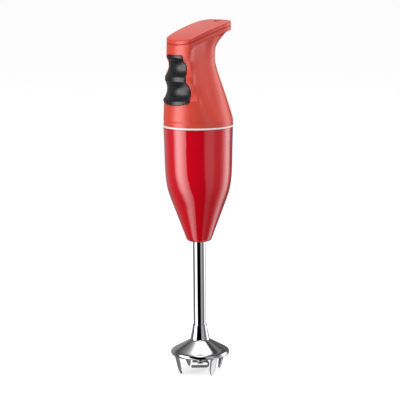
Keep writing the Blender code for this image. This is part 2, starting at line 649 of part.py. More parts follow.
def build_blade():
    """A rolled hub, a top plate with two raised arms, and a strip folded back under it."""
    angle = math.radians(BLADE_ANGLE)
    along = Vector((math.cos(angle), math.sin(angle), 0))
    across = Vector((-math.sin(angle), math.cos(angle), 0))
    hub_bottom = BLADE_UPPER_Z - 0.2
    blade = turned("blade", ((hub_bottom, BLADE_BORE_R), (hub_bottom, BLADE_HUB_R),
                             (BLADE_HUB_TOP, BLADE_HUB_R), (BLADE_HUB_TOP, BLADE_BORE_R)),
                   "steel", 24)
    fold_radius = (BLADE_UPPER_Z - BLADE_LOWER_Z) / 2
    centre_z = (BLADE_UPPER_Z + BLADE_LOWER_Z) / 2
    line = [(BLADE_OPEN_X, BLADE_UPPER_Z)]
    for i in range(9):
        turn = math.pi / 2 - math.pi * i / 8
        line.append((BLADE_FOLD_X + fold_radius * math.cos(turn),
                     centre_z + fold_radius * math.sin(turn)))
    line.append((BLADE_TIP_X, BLADE_LOWER_Z))
    outer_side, inner_side = [], []
    for i, (x, z) in enumerate(line):
        before = Vector(line[max(i - 1, 0)])
        after = Vector(line[min(i + 1, len(line) - 1)])
        run = (after - before).normalized()
        normal = Vector((-run.y, run.x)) * BLADE_SHEET / 2
        outer_side.append((x + normal.x, z + normal.y))
        inner_side.append((x - normal.x, z - normal.y))
    section = outer_side + inner_side[::-1]
    rings = [[along * x + across * side + Vector((0, 0, z)) for x, z in section]
             for side in (-BLADE_HALF_WIDTH, BLADE_HALF_WIDTH)]
    mesh_edit = bmesh.new()
    bridge_rings(mesh_edit, rings, close_ends=True)
    strip = finish_object("join_blade_strip", mesh_edit, "steel")
    bore = rod("cut_blade_bore", (0, 0, BLADE_UPPER_Z - 1.6), (0, 0, BLADE_HUB_TOP + 1),
               BLADE_BORE_R, "steel", 24)
    boolean(blade, strip, "UNION")
    for side in (-1, 1):
        rings = []
        for reach, half, lift in BLADE_ARM:
            rings.append([across * (side * reach) + along * (a * half)
                          + Vector((0, 0, BLADE_UPPER_Z + lift + b * BLADE_SHEET / 2))
                          for a, b in ((-1, -1), (1, -1), (1, 1), (-1, 1))])
        mesh_edit = bmesh.new()
        bridge_rings(mesh_edit, rings, close_ends=True)
        arm = finish_object("join_blade_arm_%d" % side, mesh_edit, "steel")
        boolean(blade, arm, "UNION")
    boolean(blade, bore, "DIFFERENCE")
    notch_half = DRIVE_PIN_R + 0.35
    reach = BLADE_HUB_R + 1
    notch = box("cut_blade_notch", (-reach, -notch_half, DRIVE_PIN_Z - notch_half),
                (reach, notch_half, BLADE_HUB_TOP + 1), "steel")
    notch.rotation_euler.z = angle + math.pi / 2
    boolean(blade, notch, "DIFFERENCE")


def build_spindle():
    spindle = solid_turned("drive_spindle", ((SPINDLE_BOTTOM, SPINDLE_R - 0.4),
                                             (SPINDLE_BOTTOM + 0.5, SPINDLE_R),
                                             (SPINDLE_TOP, SPINDLE_R)), "steel", 24)
    angle = math.radians(BLADE_ANGLE + 90)
    along = Vector((math.cos(angle), math.sin(angle), 0)) * DRIVE_PIN_HALF_LENGTH
    level = Vector((0, 0, DRIVE_PIN_Z))
    boolean(spindle, rod("cut_pin_hole", level - along * 1.2, level + along * 1.2,
                         DRIVE_PIN_R + 0.05, "steel", 14), "DIFFERENCE")
    rod("drive_pin", level - along, level + along, DRIVE_PIN_R, "steel", 14)
    low, middle, high = COUPLING_LEVELS
    turned("drive_coupling", ((low, SPINDLE_R + RUNNING_GAP), (low, COUPLING_R), (high, COUPLING_R),
                              (high, SHAFT_R + RUNNING_GAP), (middle, SHAFT_R + RUNNING_GAP),
                              (middle, SPINDLE_R + RUNNING_GAP)), "grey_plastic")


def build_rotor():
    solid_turned("motor_shaft", ((SHAFT_BOTTOM, SHAFT_R), (SHAFT_TOP, SHAFT_R)), "steel", 20)
    bore = SHAFT_R + RUNNING_GAP
    core = turned("armature_core", ((STACK_BOTTOM, bore), (STACK_BOTTOM, ARMATURE_R),
                                    (STACK_TOP, ARMATURE_R), (STACK_TOP, bore)), "iron", 36)
    for i in range(ARMATURE_SLOTS):
        slot = box("cut_slot_%d" % (i + 1),
                   (ARMATURE_SLOT_FLOOR, -ARMATURE_SLOT_HALF, STACK_BOTTOM - 1),
                   (ARMATURE_R + 1, ARMATURE_SLOT_HALF, STACK_TOP + 1), "iron")
        slot.rotation_euler.z = 2 * math.pi * i / ARMATURE_SLOTS + ARMATURE_SLOT_PHASE
        boolean(core, slot, "DIFFERENCE")
    for name, low in (("lower_winding", STACK_BOTTOM - 0.2 - WINDING_HEIGHT),
                      ("upper_winding", STACK_TOP + 0.2)):
        high = low + WINDING_HEIGHT
        turned(name, ((low, WINDING_INNER_R), (low + 0.9, 8.8), (low + 2.2, 11.2),
                      (high - 0.9, 11.6), (high, 10.4), (high, WINDING_INNER_R)), "copper")
    turned("commutator", ((COMMUTATOR_BOTTOM, bore), (COMMUTATOR_BOTTOM, COMMUTATOR_R),
                          (COMMUTATOR_TOP, COMMUTATOR_R), (COMMUTATOR_TOP, bore)), "copper", 24)
    build_fan(bore)


def build_fan(bore):
    points = []
    for i in range(FAN_BLADES):
        centre = 2 * math.pi * i / FAN_BLADES
        for turn, radius in ((-0.22, FAN_BLADE_ROOT_R), (-0.045, FAN_R - 0.3),
                             (0.045, FAN_R - 0.3), (0.22, FAN_BLADE_ROOT_R)):
            points.append((radius * math.cos(centre + turn), radius * math.sin(centre + turn)))
    disc_low, blade_low, disc_high, blade_high = FAN_LEVELS
    fan = turned("cooling_fan", ((disc_low, bore), (disc_low, FAN_R), (disc_high, FAN_R),
                                 (disc_high, bore)), "grey_plastic", 36)
    blades = folded_plate("join_fan_blades", points, (blade_low, blade_high), "grey_plastic")
    boolean(blades, rod("cut_fan_bore", (0, 0, disc_low - 5), (0, 0, blade_high + 5), bore,
                        "grey_plastic", 24), "DIFFERENCE")
    boolean(fan, blades, "UNION")


def pole_point(side, step, radius):
    """A point on a pole's face or shoe; step runs from 0 to 8 across the pole."""
    angle = math.pi / 2 * side + math.radians(POLE_HALF_SPAN) * (step / 4 - 1)
    return radius * math.cos(angle), radius * math.sin(angle)


def build_stator():
    """Two poles on a ring, each with a coil round its neck."""
    core = turned("stator_core", ((STACK_BOTTOM, STATOR_INNER_R), (STACK_BOTTOM, STATOR_R),
                                  (STACK_TOP, STATOR_R), (STACK_TOP, STATOR_INNER_R)), "iron", 36)
    for side in (1, -1):
        outline = [pole_point(side, i, STATOR_BORE_R) for i in range(9)]
        outline += [pole_point(side, i, STATOR_BORE_R + POLE_SHOE) for i in (8, 7, 6)]
        half_neck = POLE_NECK_HALF * side
        outline += [(-half_neck, POLE_NECK_START * side), (-half_neck, POLE_NECK_END * side),
                    (half_neck, POLE_NECK_END * side), (half_neck, POLE_NECK_START * side)]
        outline += [pole_point(side, i, STATOR_BORE_R + POLE_SHOE) for i in (2, 1, 0)]
        pole = folded_plate("join_pole_%d" % side, outline, (STACK_BOTTOM, STACK_TOP), "iron")
        boolean(core, pole, "UNION")
        build_field_coil("front" if side < 0 else "rear", side)


def build_field_coil(where, side):
    near, far = COIL_NEAR * side, COIL_FAR * side
    inner = (COIL_WINDOW[0], STACK_BOTTOM - COIL_WINDOW[1], STACK_TOP + COIL_WINDOW[1])
    outer = (COIL_OUTSIDE[0], STACK_BOTTOM - COIL_OUTSIDE[1], STACK_TOP + COIL_OUTSIDE[1])
    rings = []
    for y, (half, low, high) in ((near, inner), (near, outer), (far, outer), (far, inner)):
        rings.append([Vector((x, y, z)) for x, z in ((-half, low), (half, low), (half, high),
                                                      (-half, high))])
    mesh_edit = bmesh.new()
    bridge_rings(mesh_edit, rings, close_loop=True)
    finish_object(where + "_field_coil", mesh_edit, "copper")


def bearing_plate(name, plate_low, plate_high, plate_r, hub_low, hub_high, hub_r, seat_r, lip_r):
    """A plate with a hub that holds a bearing, and holes for the two tie bolts."""
    upper = hub_high > plate_high + 1
    if upper:
        profile = ((plate_low, lip_r), (plate_low, plate_r), (plate_high, plate_r),
                   (plate_high, hub_r), (hub_high, hub_r), (hub_high, seat_r),
                   (plate_high - 0.4, seat_r), (plate_high - 0.4, lip_r))
    else:
        profile = ((plate_high, lip_r), (plate_low + 0.4, lip_r), (plate_low + 0.4, seat_r),
                   (hub_low, seat_r), (hub_low, hub_r), (plate_low, hub_r), (plate_low, plate_r),
                   (plate_high, plate_r))
    plate = turned(name, profile, "grey_plastic", 28)
    for side in (-1, 1):
        boolean(plate, rod("cut_%s_%d" % (name, side), (0, side * TIE_BOLT_RADIUS, plate_low - 5),
                           (0, side * TIE_BOLT_RADIUS, plate_high + 5), TIE_BOLT_R + 0.2,
                           "grey_plastic", 14), "DIFFERENCE")


def build_motor_frame():
    bore = SHAFT_R + RUNNING_GAP
    bearing_plate("lower_bearing_plate", *LOWER_PLATE)
    bearing_plate("upper_bearing_plate", *UPPER_PLATE)
    for name, low, high, radius in BEARINGS:
        turned(name, ((low, bore), (low, radius), (high, radius), (high, bore)), "steel")
    low, shoulder, high = TIE_BOLT_LEVELS
    for side, where in ((-1, "front"), (1, "rear")):
        solid_turned(where + "_tie_bolt",
                     ((low, TIE_BOLT_HEAD_R), (shoulder, TIE_BOLT_HEAD_R), (shoulder, TIE_BOLT_R),
                      (high, TIE_BOLT_R)), "steel", 14, (0.0, side * TIE_BOLT_RADIUS))
    low, high, inner, outer = CARRIER
    turned("brush_carrier", ((low, inner), (low, outer), (high, outer), (high, inner)),
           "grey_plastic", 32)
    for side, where in ((-1, "left"), (1, "right")):
        build_brush(side, where)


def build_brush(side, where):
    inner, outer = BRUSH_HOLDER_HALF
    start, end = BRUSH_HOLDER_X
    rings = []
    for x, half in ((start, inner), (start, outer), (end, outer), (end, inner)):
        rings.append([Vector((side * x, a * half, BRUSH_Z + b * half))
                      for a, b in ((-1, -1), (1, -1), (1, 1), (-1, 1))])
    mesh_edit = bmesh.new()
    bridge_rings(mesh_edit, rings, close_loop=True)
    finish_object(where + "_brush_holder", mesh_edit, "brass")
    low, high = sorted((side * (COMMUTATOR_R + 0.15), side * BRUSH_LENGTH_END))
    box(where + "_carbon_brush", (low, -BRUSH_HALF, BRUSH_Z - BRUSH_HALF),
        (high, BRUSH_HALF, BRUSH_Z + BRUSH_HALF), "carbon")
    build_spring(where + "_brush_spring", side * SPRING_X[0], side * SPRING_X[1], BRUSH_Z)


def build_spring(name, start_x, end_x, z):
    steps = 8
    rings = []
    for i in range(SPRING_TURNS * steps + 1):
        angle = 2 * math.pi * i / steps
        x = start_x + (end_x - start_x) * i / (SPRING_TURNS * steps)
        ring = []
        for j in range(5):
            around = 2 * math.pi * j / 5
            radius = SPRING_COIL_R + SPRING_WIRE_R * math.cos(around)
            ring.append(Vector((x + SPRING_WIRE_R * math.sin(around), radius * math.cos(angle),
                                z + radius * math.sin(angle))))
        rings.append(ring)
    mesh_edit = bmesh.new()
    bridge_rings(mesh_edit, rings, close_ends=True)
    finish_object(name, mesh_edit, "steel")


def main():
    clear_scene()
    for name in PAINT:
        make_material(name)
    build_lid()
    build_grip()
    build_ring_and_housing()
    build_switches()
    build_cord_inlet()
    build_guard()
    build_blade()
    build_spindle()
    build_rotor()
    build_stator()
    build_motor_frame()


main()
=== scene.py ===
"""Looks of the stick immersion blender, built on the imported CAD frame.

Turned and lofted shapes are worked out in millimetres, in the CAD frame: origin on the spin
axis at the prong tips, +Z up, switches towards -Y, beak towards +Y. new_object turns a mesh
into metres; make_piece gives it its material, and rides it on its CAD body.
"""
import json
import math

import bmesh
import bpy
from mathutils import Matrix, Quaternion, Vector


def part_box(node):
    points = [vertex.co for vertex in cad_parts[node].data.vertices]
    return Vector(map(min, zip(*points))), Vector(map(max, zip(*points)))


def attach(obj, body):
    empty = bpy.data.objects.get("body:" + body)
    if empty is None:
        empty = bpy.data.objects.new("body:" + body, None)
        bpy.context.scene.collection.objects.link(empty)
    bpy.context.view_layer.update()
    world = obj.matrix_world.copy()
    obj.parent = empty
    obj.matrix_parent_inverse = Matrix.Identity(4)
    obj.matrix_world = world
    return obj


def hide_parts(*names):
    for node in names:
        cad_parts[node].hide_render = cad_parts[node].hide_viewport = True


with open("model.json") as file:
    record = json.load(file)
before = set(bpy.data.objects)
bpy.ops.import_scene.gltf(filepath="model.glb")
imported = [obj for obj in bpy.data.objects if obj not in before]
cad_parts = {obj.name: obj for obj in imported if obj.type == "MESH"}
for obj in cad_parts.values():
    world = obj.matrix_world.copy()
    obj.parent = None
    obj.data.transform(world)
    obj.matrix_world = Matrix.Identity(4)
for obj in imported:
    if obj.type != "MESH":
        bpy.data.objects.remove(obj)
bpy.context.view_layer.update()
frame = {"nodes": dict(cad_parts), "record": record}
NODES = frame["nodes"]
MM = 0.001


def node_box(name):
    """A CAD node's lowest and highest corners, in millimetres."""
    low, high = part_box(name)
    return Vector(low) / MM, Vector(high) / MM


# ---------------------------------------------------------------- sizes read from the frame
RING_LOW, RING_HIGH = node_box("trim_ring")
TUBE_LOW, TUBE_HIGH = node_box("shaft_tube")
BUTTON_Z = {}
for _where in ("upper", "lower"):
    _low, _high = node_box(_where + "_microswitch")
    BUTTON_Z[_where] = (_low.z + _high.z) / 2
COVER_LOW, COVER_HIGH = node_box("switch_cover")
INLET_LOW, INLET_HIGH = node_box("cord_inlet_bush")

# ---------------------------------------------------------------- design values, millimetres
RING_TOP = RING_HIGH.z
GAP = 0.3
GRIP_BOTTOM = RING_TOP + 0.1
GRIP_BASE_R = 33.0
GRIP_FRONT_TOP_R = 28.8
GRIP_FRONT_TOP_Z = 322.0
GRIP_WALL = 3.0
CREASE_SOFTNESS = 0.7
# the front wall only holds ahead of this cosine, and gives way to the sides at this rate
FRONT_END = 0.25
FRONT_RELEASE = 120
SECTION_STEPS = 34
POINT_STEPS = 4
BEAK_CAVITY_END_Y = 19.5
LID_CENTRE_Z = 329.4
LID_SLOPE = 0.289
LID_DROOP = 0.0023
LID_HEIGHT = 4.2
LID_WALL = 2.2
LID_EDGE_R = 1.1
LID_EDGE_STEPS = 8
LID_DOME = 0.45
LID_DOME_SHARES = (0.9, 0.8, 0.7, 0.6, 0.5, 0.4, 0.3, 0.2, 0.1)
LID_FOOT_INSET = 0.4
LID_FOOT_BREAK = 0.12
SEAM_GAP = 0.35
HANG_HOLE_Y = 25.6
HANG_HOLE_R = 3.2
HANG_HOLE_LID_R = 3.5
HANG_TOOL_FOOT = (0, HANG_HOLE_Y, 300)
HANG_TOOL_HEAD = (0, HANG_HOLE_Y, 350)
INLET_TOOL_FRONT_Y = 8
INLET_TOOL_BACK_Y = 30
SCOOP_DEPTH = 3.4
SCOOP_HALF_HEIGHT = 9.0
SCOOP_POWER = 1.25
RECESS_DEPTH = 1.9
RECESS_CORNER = 8.0
RECESS_STEP = 2.8
# the hollow fades out towards the rear (degrees from the front) and towards the foot (level)
RECESS_REAR = 75.0
RECESS_REAR_SPAN = 60.0
RECESS_FOOT = 0.06
RECESS_FOOT_SPAN = 0.30
FLANGE_LEVEL = 0.957
LEVELS_ABOVE_FLANGE = [FLANGE_LEVEL + 0.004, 0.98, 1.0]
FRONT_COLUMNS = 26
SIDE_COLUMNS = 44
GRIP_ROWS = 120
INNER_ROWS = 24
COVER_PROUD = 0.5
COVER_DEPTH = 1.5
POCKET_TOOL_PROUD = 4.0
EDGE_ROUND = 0.25
BUTTON_DEPTH = 2.4
BUTTON_SPREAD = 0.9
BUTTON_ROWS = 48
STEM_LENGTH = 5.0
STEM_R = 2.0
STEM_SEGMENTS = 24
OVAL_SEGMENTS = 64
BUTTON_HALF_WIDTH = 7.7
BUTTON_HALF_HEIGHT = 5.1
TURN_SEGMENTS = 128

# level up the grip, half width, reach to the rear, y of the widest place, crease in degrees
# from the front, and how square the rear and the front of the section are
GRIP_STATIONS = (
    (0.00, 33.0, 33.0, 0, 88, 2.0, 2.0),
    (0.05, 32.9, 32.9, 0, 84, 2.0, 2.0),
    (0.10, 31.5, 31.6, 0, 66, 2.05, 2.2),
    (0.30, 26.0, 26.4, -2, 49.5, 2.1, 2.6),
    (0.50, 20.7, 20.1, -4, 40, 2.2, 3.0),
    (0.60, 18.8, 17.1, -5, 37, 2.25, 3.2),
    (0.68, 17.6, 15.5, -5, 35, 2.25, 3.2),
    (0.74, 16.8, 15.9, -5, 33, 2.3, 3.2),
    (0.80, 16.2, 17.4, -5, 33, 2.3, 3.2),
    (0.845, 16.2, 20.4, -5, 33, 2.35, 3.2),
    (0.885, 16.5, 24.4, -3, 33.5, 2.5, 3.0),
    (0.92, 17.2, 27.8, 2, 34.5, 2.7, 2.8),
    (0.948, 18.4, 29.4, 9, 35.5, 3.0, 2.7),
    (0.957, 20.2, 30.8, 15, 36, 3.2, 2.7),
    (1.00, 20.2, 30.8, 15, 36, 3.2, 2.7),
)
# the cover's half width, in degrees round the spin axis, against height
COVER_EDGE = ((259.6, 32.5), (263.6, 33.0), (266.2, 34.4), (272.2, 34.3), (278.0, 30.0),
              (281.4, 26.3), (286.8, 25.9), (289.4, 26.5), (293.6, 26.3), (298.2, 23.8),
              (301.2, 19.4), (305.6, 19.4))
# how far the cover's lands stand proud of its scoops, against height
COVER_RELIEF = ((263.0, 0.7), (264.2, 0.0), (280.8, 0.0), (281.8, 0.55), (286.0, 0.55),
                (287.0, 0.0), (300.6, 0.0), (301.6, 0.7))
COVER_BOW = 2.6
COVER_BOW_HEIGHT = 12.0
# profiles of the turned shells: (height, radius)
HOUSING_PROFILE = ((237.0, 32.8), (219.8, 32.3), (203.0, 31.9), (191.2, 31.4), (184.0, 30.6),
                   (178.0, 29.5), (172.0, 27.8), (160.0, 23.4), (145.0, 17.8), (134.0, 13.7),
                   (130.6, 12.4), (128.6, 11.4), (127.8, 10.2))
HOUSING_WALL = 2.2
HOUSING_FLOOR = ((127.8, 6.4), (130.2, 6.4), (130.2, 9.6))
HOUSING_RIM = (237.0, 30.6)
HOUSING_CAVITY = (132.0, 237.0)
RING_WIDTH = 3.2
RING_ROUND = 0.3
RING_ROUND_MIDDLE = 0.09
TUBE_WALL = 1.0
PROFILE_STEP = 0.8
GUARD_STEP = 0.6
GUARD_OUTER = ((46.0, 6.75), (43.5, 7.05), (39.6, 7.7), (35.6, 8.5), (33.0, 9.05), (31.6, 9.45),
               (31.2, 9.95), (30.8, 10.65), (30.2, 11.76), (27.7, 16.32), (24.6, 21.97),
               (22.6, 25.6), (21.9, 26.75), (21.0, 27.6), (20.0, 28.0), (18.6, 28.0),
               (17.6, 27.4), (17.0, 26.4))
GUARD_INNER = ((17.4, 25.6), (20.4, 25.4), (23.4, 21.6), (26.6, 15.6), (28.4, 11.6), (29.0, 8.4),
               (29.4, 5.1), (40.2, 5.1), (40.2, 6.2), (46.0, 6.2))
PRONG_COUNT = 4
PRONG_FIRST_ANGLE = 78.4
PRONG_THICKNESS = 1.4
# across a prong: outer face from side to side, then the inner face back again
PRONG_SHARES = (-1.0, -0.7, -0.35, 0.0, 0.35, 0.7, 1.0)
PRONG_SECTION = ([(1, share) for share in PRONG_SHARES]
                 + [(-1, share) for share in reversed(PRONG_SHARES)])
PRONG_ROWS = 40
PRONG_ROUND = 0.3
# (height, radius of the middle of the prong, width)
PRONG_LEVELS = ((20.0, 25.9, 7.4), (17.0, 25.6, 7.0), (12.0, 24.4, 6.6), (7.0, 23.1, 5.9),
                (3.2, 22.1, 4.3), (0.9, 21.4, 2.3), (0.0, 21.2, 1.5))

# ---------------------------------------------------------------- camera
VIEW_AZIMUTH = math.radians(48.0)
CAMERA_DISTANCE = 1.622
CAMERA_HEIGHT = 0.435
TARGET_RIGHT = 0.00115
TARGET_HEIGHT = 0.1667
CAMERA_ROLL = math.radians(-0.496)
CAMERA_LENS = 156.0
SENSOR = 36.0


def add_camera():
    toward = Vector((math.sin(VIEW_AZIMUTH), -math.cos(VIEW_AZIMUTH), 0))
    right = Vector((math.cos(VIEW_AZIMUTH), math.sin(VIEW_AZIMUTH), 0))
    place = toward * CAMERA_DISTANCE + Vector((0, 0, CAMERA_HEIGHT))
    target = right * TARGET_RIGHT + Vector((0, 0, TARGET_HEIGHT))
    data = bpy.data.cameras.new("camera")
    data.lens = CAMERA_LENS
    data.sensor_width = SENSOR
    data.clip_end = 100.0
    camera = bpy.data.objects.new("camera", data)
    camera.location = place
    camera.rotation_mode = "QUATERNION"
    camera.rotation_quaternion = ((target - place).to_track_quat("-Z", "Y")
                                  @ Quaternion((0, 0, 1), CAMERA_ROLL))
    bpy.context.scene.collection.objects.link(camera)
    bpy.context.scene.camera = camera
    bpy.context.scene.view_settings.view_transform = "Standard"


# ---------------------------------------------------------------- mesh helpers
def smooth_read(points, at):
    """Read a smooth curve, without overshoot, through (x, y) points."""
    xs = [point[0] for point in points]
    ys = [point[1] for point in points]
    if at <= xs[0]:
        return ys[0]
    if at >= xs[-1]:
        return ys[-1]
    spans = [b - a for a, b in zip(xs, xs[1:])]
    slopes = [(b - a) / span for a, b, span in zip(ys, ys[1:], spans)]
    tangents = [slopes[0]]
    for i in range(1, len(xs) - 1):
        before, after = slopes[i - 1], slopes[i]
        if before * after <= 0:
            tangents.append(0.0)
            continue
        weight_a = 2 * spans[i] + spans[i - 1]
        weight_b = spans[i] + 2 * spans[i - 1]
        tangents.append((weight_a + weight_b) / (weight_a / before + weight_b / after))
    tangents.append(slopes[-1])
    i = max(k for k in range(len(spans)) if xs[k] <= at)
    s = (at - xs[i]) / spans[i]
    return ((1 + 2 * s) * (1 - s) ** 2 * ys[i] + s * (1 - s) ** 2 * spans[i] * tangents[i]
            + s * s * (3 - 2 * s) * ys[i + 1] + s * s * (s - 1) * spans[i] * tangents[i + 1])


def soft_min(a, b, softness):
    """The smaller of two values, with the corner between them rounded."""
    mix = max(0.0, 1.0 - abs(a - b) / (2 * softness))
    return min(a, b) - softness * mix * mix / 2


def bridge_rings(mesh_edit, rings, close_ends=False, close_loop=False):
    """Join rings of points, each with the same count, into one skin."""
    made = [[mesh_edit.verts.new(point) for point in ring] for ring in rings]
    pairs = list(zip(made, made[1:]))
    if close_loop:
        pairs.append((made[-1], made[0]))
    for first, second in pairs:
        count = len(first)
        for i in range(count):
            j = (i + 1) % count
            mesh_edit.faces.new((first[i], first[j], second[j], second[i]))
    if close_ends:
        mesh_edit.faces.new(made[0])
        mesh_edit.faces.new(tuple(reversed(made[-1])))
    return made


def new_object(name, mesh_edit, smooth_angle=35.0):
    bmesh.ops.recalc_face_normals(mesh_edit, faces=mesh_edit.faces)
    bmesh.ops.scale(mesh_edit, vec=(MM, MM, MM), verts=mesh_edit.verts)
    mesh = bpy.data.meshes.new(name)
    mesh_edit.to_mesh(mesh)
    mesh_edit.free()
    mesh.shade_smooth()
    mesh.set_sharp_from_angle(angle=math.radians(smooth_angle))
    made = bpy.data.objects.new(name, mesh)
    bpy.context.scene.collection.objects.link(made)
    return made


def cut(piece, tools, operation):
    """Apply booleans and take the tools away, so that the piece is one plain mesh."""
    for tool in tools:
        modifier = piece.modifiers.new("cut", "BOOLEAN")
        modifier.operation = operation
        modifier.object = tool
        modifier.solver = "EXACT"
    apply_modifiers(piece)
    for tool in tools:
        bpy.data.objects.remove(tool, do_unlink=True)


def apply_modifiers(piece):
    graph = bpy.context.evaluated_depsgraph_get()
    graph.update()
    solid = bpy.data.meshes.new_from_object(piece.evaluated_get(graph))
    old = piece.data
    piece.modifiers.clear()
    piece.data = solid
    bpy.data.meshes.remove(old)


def make_piece(piece, body, replaced, material):
    piece.data.materials.clear()
    piece.data.materials.append(material)
    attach(piece, body)
    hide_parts(*replaced)
    return piece


def circle(radius, z, segments, phase=0.0):
    turn = 2 * math.pi / segments
    return [Vector((radius * math.cos(phase + i * turn), radius * math.sin(phase + i * turn), z))
            for i in range(segments)]


def turned(name, profile, smooth_angle=35.0):
    mesh_edit = bmesh.new()
    bridge_rings(mesh_edit, [circle(radius, z, TURN_SEGMENTS) for z, radius in profile],
                 close_loop=True)
    return new_object(name, mesh_edit, smooth_angle)


def rod(name, start, end, radius, segments=48):
    start, end = Vector(start), Vector(end)
    turn = Vector((0, 0, 1)).rotation_difference((end - start).normalized())
    mesh_edit = bmesh.new()
    rings = [[centre + turn @ point for point in circle(radius, 0.0, segments)]
             for centre in (start, end)]
    bridge_rings(mesh_edit, rings, close_ends=True)
    return new_object(name, mesh_edit)


# ---------------------------------------------------------------- grip surface
def lid_top_z(y):
    return LID_CENTRE_Z + LID_SLOPE * y - LID_DROOP * y * y


def seam_z(y):
    return lid_top_z(y) - LID_HEIGHT


def front_radius(z):
    share = (z - RING_TOP) / (GRIP_FRONT_TOP_Z - RING_TOP)
    return GRIP_BASE_R + (GRIP_FRONT_TOP_R - GRIP_BASE_R) * share


def scoop_depth(z):
    depth = 0.0
    for centre in BUTTON_Z.values():
        offset = abs(z - centre) / SCOOP_HALF_HEIGHT
        if offset < 1:
            depth += SCOOP_DEPTH * (1 - offset * offset) ** SCOOP_POWER
    return depth


def smooth_step(value):
    value = min(max(value, 0.0), 1.0)
    return value * value * (3 - 2 * value)


def side_recess(angle, level, crease_degrees, radius):
    """How far the hollow behind the crease, with its rounded upper corner, is pushed in."""
    behind = (abs(angle) - math.radians(crease_degrees)) * radius
    below = (FLANGE_LEVEL - level) * (LID_CENTRE_Z - GRIP_BOTTOM)
    if behind <= 0 or below <= 0:
        return 0.0
    inside = min(behind, below)
    if behind < RECESS_CORNER and below < RECESS_CORNER:
        inside = RECESS_CORNER - math.hypot(RECESS_CORNER - behind, RECESS_CORNER - below)
    fade_rear = 1 - smooth_step((math.degrees(abs(angle)) - RECESS_REAR) / RECESS_REAR_SPAN)
    fade_foot = smooth_step((level - RECESS_FOOT) / RECESS_FOOT_SPAN)
    return RECESS_DEPTH * smooth_step(inside / RECESS_STEP) * fade_rear * fade_foot


def station(level):
    columns = zip(*GRIP_STATIONS)
    levels = next(columns)
    return [smooth_read(list(zip(levels, column)), level) for column in columns]


def grip_section_radius(angle, level, values):
    half_width, rear, widest_y, crease, rear_power, front_power = values
    radius = front_radius(RING_TOP + level * (GRIP_FRONT_TOP_Z - RING_TOP))
    crease_x = radius * math.sin(math.radians(crease))
    crease_y = radius * math.cos(math.radians(crease))
    share = min(crease_x / half_width, 0.999)
    side_rise = max(1 - share ** front_power, 0.001) ** (1 / front_power)
    front = max((crease_y + widest_y) / side_rise, radius)
    low, high = 0.0, 2.5 * GRIP_BASE_R
    for _ in range(SECTION_STEPS):
        middle = (low + high) / 2
        x = abs(middle * math.sin(angle))
        y = -middle * math.cos(angle) - widest_y
        if y >= 0:
            reach = (x / half_width) ** rear_power + (y / (rear - widest_y)) ** rear_power
        else:
            reach = (x / half_width) ** front_power + (-y / front) ** front_power
        if reach > 1:
            high = middle
        else:
            low = middle
    return low


def grip_point(angle, level, values, inset=0.0, rear_limit=None):
    ahead = math.cos(angle)
    section = grip_section_radius(angle, level, values)
    radius = section
    for _ in range(POINT_STEPS):
        z = GRIP_BOTTOM + level * (seam_z(-radius * ahead) - GRIP_BOTTOM)
        if ahead > 0:
            release = max(FRONT_END - ahead, 0) * FRONT_RELEASE
            front = front_radius(z) - scoop_depth(z) * ahead + release
            radius = soft_min(section, front, CREASE_SOFTNESS)
    radius -= inset + side_recess(angle, level, values[3], radius)
    if rear_limit is not None and -radius * ahead > rear_limit:
        radius = -rear_limit / ahead
    y = -radius * ahead
    z = GRIP_BOTTOM + level * (seam_z(y) - GRIP_BOTTOM)
    return Vector((radius * math.sin(angle), y, z))


def grip_angles(crease_degrees, front_columns, side_columns):
    crease = math.radians(crease_degrees)
    front = [crease * i / front_columns for i in range(front_columns)]
    side = [crease + (math.pi - crease) * i / side_columns for i in range(side_columns)]
    half = front + side
    return half + [math.pi] + [-angle for angle in reversed(half[1:])]


def grip_ring(level, inset=0.0, rear_limit=None):
    values = station(level)
    return [grip_point(angle, level, values, inset, rear_limit)
            for angle in grip_angles(values[3], FRONT_COLUMNS, SIDE_COLUMNS)]


def front_patch(name, lowest, highest, outward, inward, margin=0.0, scale=1.0, rows=90, columns=60):
    """A curved plate that follows the front of the grip, cut to the cover's outline."""
    mesh_edit = bmesh.new()
    layers = []
    for offset in (outward, -inward):
        layer = []
        for i in range(rows + 1):
            z = lowest + (highest - lowest) * i / rows
            half = math.radians(smooth_read(COVER_EDGE, z) * scale) + margin / GRIP_FRONT_TOP_R
            proud = offset + (smooth_read(COVER_RELIEF, z) if offset > 0 else 0.0)
            bow = COVER_BOW * min(max(1 - (z - COVER_EDGE[0][0]) / COVER_BOW_HEIGHT, 0.0), 1.0)
            line = []
            for j in range(columns + 1):
                across = 2 * j / columns - 1
                angle = half * across
                level = z + bow * across * across
                radius = front_radius(level) - scoop_depth(level) * math.cos(angle) + proud
                line.append(mesh_edit.verts.new((radius * math.sin(angle),
                                                 -radius * math.cos(angle), level)))
            layer.append(line)
        layers.append(layer)
    outer, inner = layers
    for i in range(rows):
        for j in range(columns):
            for skin, (k, l), (m, n) in ((outer, (i, j + 1), (i + 1, j)),
                                         (inner, (i + 1, j), (i, j + 1))):
                mesh_edit.faces.new((skin[i][j], skin[k][l], skin[i + 1][j + 1], skin[m][n]))
    rim = ([(0, j) for j in range(columns)] + [(i, columns) for i in range(rows)]
           + [(rows, j) for j in range(columns, 0, -1)] + [(i, 0) for i in range(rows, 0, -1)])
    for (i, j), (k, l) in zip(rim, rim[1:] + rim[:1]):
        mesh_edit.faces.new((outer[i][j], inner[i][j], inner[k][l], outer[k][l]))
    return new_object(name, mesh_edit)


